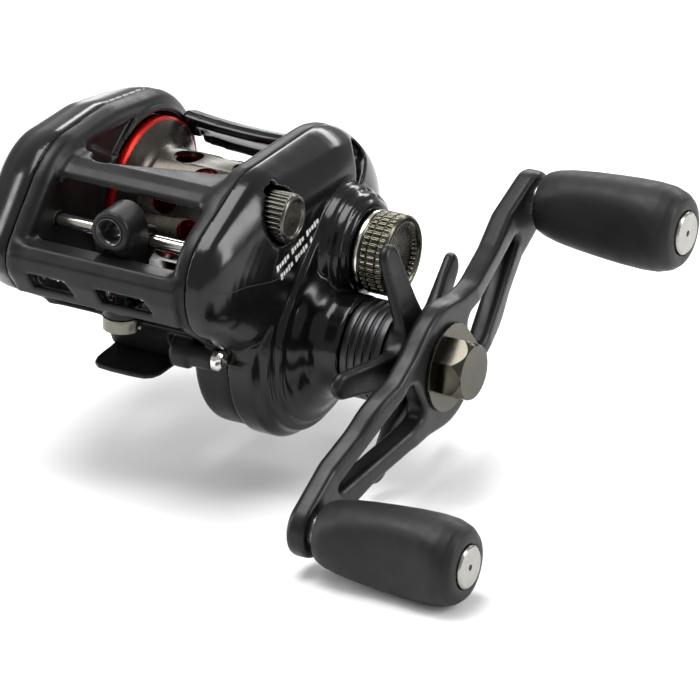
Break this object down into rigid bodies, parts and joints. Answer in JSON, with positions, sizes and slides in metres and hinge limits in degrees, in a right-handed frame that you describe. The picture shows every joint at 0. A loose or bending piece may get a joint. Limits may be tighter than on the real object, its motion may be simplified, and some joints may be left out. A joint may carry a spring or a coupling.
{
  "type": "baitcasting reel",
  "caption": "Low-profile baitcasting fishing reel: ported spool in a one-piece frame, level-wind line guide, thumb bar, star drag and a double-knob crank handle.",
  "frame": {"origin": "centre of the reel foot's underside", "axes": "+X along the spool axis towards the handle, -Y the way the line leaves, +Z away from the rod"},
  "size_m": [0.1074, 0.0948, 0.0601],
  "materials": {
    "satin_black": "satin black paint over die-cast metal",
    "gloss_black": "glossy black",
    "foot_metal": "satin black",
    "nickel": "bright nickel",
    "bearing_steel": "ground steel",
    "bar_steel": "polished stainless",
    "gunmetal": "gunmetal anodised",
    "spool_metal": "gunmetal anodised with red anodised ring and inside",
    "gear_brass": "cut brass",
    "white_plastic": "acetal",
    "carbon": "carbon fibre",
    "spring_steel": "spring steel",
    "handle_metal": "satin black",
    "knob_rubber": "soft-touch",
    "knob_cap_metal": "spun",
    "black_plastic": "moulded",
    "ceramic": "polished ceramic",
    "magnet": "nickel plated"
  },
  "bodies": {
    "housing": {"frame": "satin_black", "reel_foot": "foot_metal", "foot_rivets": "bearing_steel", "gear_side_cover": "gloss_black", "palm_side_cover": "gloss_black", "cover_screws": "nickel", "lug_screw": "nickel", "palm_bearing": "bearing_steel", "spool_bearing": "bearing_steel", "pinion_bearing": "bearing_steel", "crank_bushing": "gear_brass", "one_way_bearing": "bearing_steel", "guide_bar": "bar_steel", "worm_guard": "black_plastic", "worm_bushes": "white_plastic", "idler_post": "bearing_steel", "yoke_springs": "spring_steel"},
    "spool": {"spool": "spool_metal", "spool_shaft": "bearing_steel", "spool_pin": "bearing_steel"},
    "yoke": {"clutch_yoke": "spring_steel"},
    "pinion": {"pinion": "gear_brass"},
    "clutch": {"clutch_cam": "spring_steel", "kick_lever": "spring_steel"},
    "thumb_bar": {"thumb_bar": "satin_black"},
    "crank": {"main_gear": "gear_brass", "wind_gear": "white_plastic", "drive_shaft": "bearing_steel", "carbon_washers": "carbon", "key_washers": "bearing_steel", "pressure_plate": "bearing_steel", "kick_ratchet": "bearing_steel", "clutch_sleeve": "bearing_steel", "spring_washers": "spring_steel", "handle_arm": "handle_metal", "handle_nut": "gunmetal", "nut_lock_plate": "gunmetal", "nut_lock_screw": "nickel", "knob_spindles": "bearing_steel"},
    "star": {"star_drag": "handle_metal", "drag_collar": "gunmetal", "drag_nut": "gear_brass"},
    "rear_knob": {"rear_knob": "knob_rubber", "rear_knob_cap": "knob_cap_metal", "rear_knob_bushes": "white_plastic"},
    "front_knob": {"front_knob": "knob_rubber", "front_knob_cap": "knob_cap_metal", "front_knob_bushes": "white_plastic"},
    "cast_control": {"cast_control_cap": "gunmetal", "cast_control_shim": "gear_brass"},
    "cover_thumbscrew": {"cover_thumbscrew": "gunmetal"},
    "brake_dial": {"brake_dial": "black_plastic"},
    "brake_carrier": {"brake_carrier": "bearing_steel", "brake_magnets": "magnet"},
    "idler": {"idler_gear": "white_plastic"},
    "worm": {"worm_shaft": "bar_steel", "worm_gear": "white_plastic"},
    "line_guide": {"line_guide": "black_plastic", "guide_insert": "ceramic", "guide_pawl": "gunmetal"}
  },
  "joints": [
    {"name": "crank_spin", "type": "hinge", "parent": "housing", "child": "crank", "pos_m": [0, -0.004, 0.003], "axis": [1, 0, 0], "continuous": true},
    {"name": "star_turn", "type": "hinge", "parent": "crank", "child": "star", "pos_m": [0, -0.004, 0.003], "axis": [1, 0, 0], "range_deg": [-360, 360]},
    {"name": "rear_knob_spin", "type": "hinge", "parent": "crank", "child": "rear_knob", "pos_m": [0, 0.03553, 0.01913], "axis": [1, 0, 0], "continuous": true},
    {"name": "front_knob_spin", "type": "hinge", "parent": "crank", "child": "front_knob", "pos_m": [0, -0.04353, -0.01313], "axis": [1, 0, 0], "continuous": true},
    {"name": "spool_spin", "type": "hinge", "parent": "housing", "child": "spool", "pos_m": [0, 0.0046, 0.0177], "axis": [1, 0, 0], "continuous": true},
    {"name": "thumb_press", "type": "slide", "parent": "housing", "child": "thumb_bar", "axis": [0, 0.6, -0.8], "range_m": [0, 0.004]},
    {"name": "yoke_lift", "type": "slide", "parent": "housing", "child": "yoke", "axis": [1, 0, 0], "range_m": [0, 0.0018], "deforming": ["yoke_springs"]},
    {"name": "pinion_spin", "type": "hinge", "parent": "yoke", "child": "pinion", "pos_m": [0, 0.0046, 0.0177], "axis": [1, 0, 0], "continuous": true},
    {"name": "clutch_turn", "type": "hinge", "parent": "housing", "child": "clutch", "pos_m": [0, 0.0046, 0.0177], "axis": [1, 0, 0], "range_deg": [-13.1, 0]},
    {"name": "cast_control_turn", "type": "hinge", "parent": "housing", "child": "cast_control", "pos_m": [0, 0.0046, 0.0177], "axis": [1, 0, 0], "range_deg": [-360, 360]},
    {"name": "thumbscrew_turn", "type": "hinge", "parent": "housing", "child": "cover_thumbscrew", "pos_m": [0, -0.015, 0.03], "axis": [1, 0, 0], "range_deg": [0, 1440]},
    {"name": "brake_carrier_slide", "type": "slide", "parent": "housing", "child": "brake_carrier", "axis": [1, 0, 0], "range_m": [0, 0.0012]},
    {"name": "brake_dial_turn", "type": "hinge", "parent": "housing", "child": "brake_dial", "pos_m": [0, 0.0046, 0.0177], "axis": [1, 0, 0], "range_deg": [0, 270]},
    {"name": "idler_spin", "type": "hinge", "parent": "housing", "child": "idler", "pos_m": [0, -0.01987, 0.01517], "axis": [1, 0, 0], "continuous": true},
    {"name": "worm_spin", "type": "hinge", "parent": "housing", "child": "worm", "pos_m": [0, -0.0305, 0.018], "axis": [1, 0, 0], "continuous": true},
    {"name": "guide_slide", "type": "slide", "parent": "housing", "child": "line_guide", "axis": [1, 0, 0], "range_m": [-0.0115, 0.0095]}
  ],
  "couplings": [
    {"joint": "spool_spin", "follows": "crank_spin", "ratio": -6.5},
    {"joint": "pinion_spin", "follows": "crank_spin", "ratio": -6.5},
    {"joint": "idler_spin", "follows": "crank_spin", "ratio": -1.6667},
    {"joint": "worm_spin", "follows": "crank_spin", "ratio": 3.5714},
    {"joint": "yoke_lift", "follows": "thumb_press", "ratio": 0.45},
    {"joint": "clutch_turn", "follows": "thumb_press", "rad_per_m": -57.16},
    {"joint": "brake_dial_turn", "follows": "brake_carrier_slide", "rad_per_m": 3927}
  ]
}
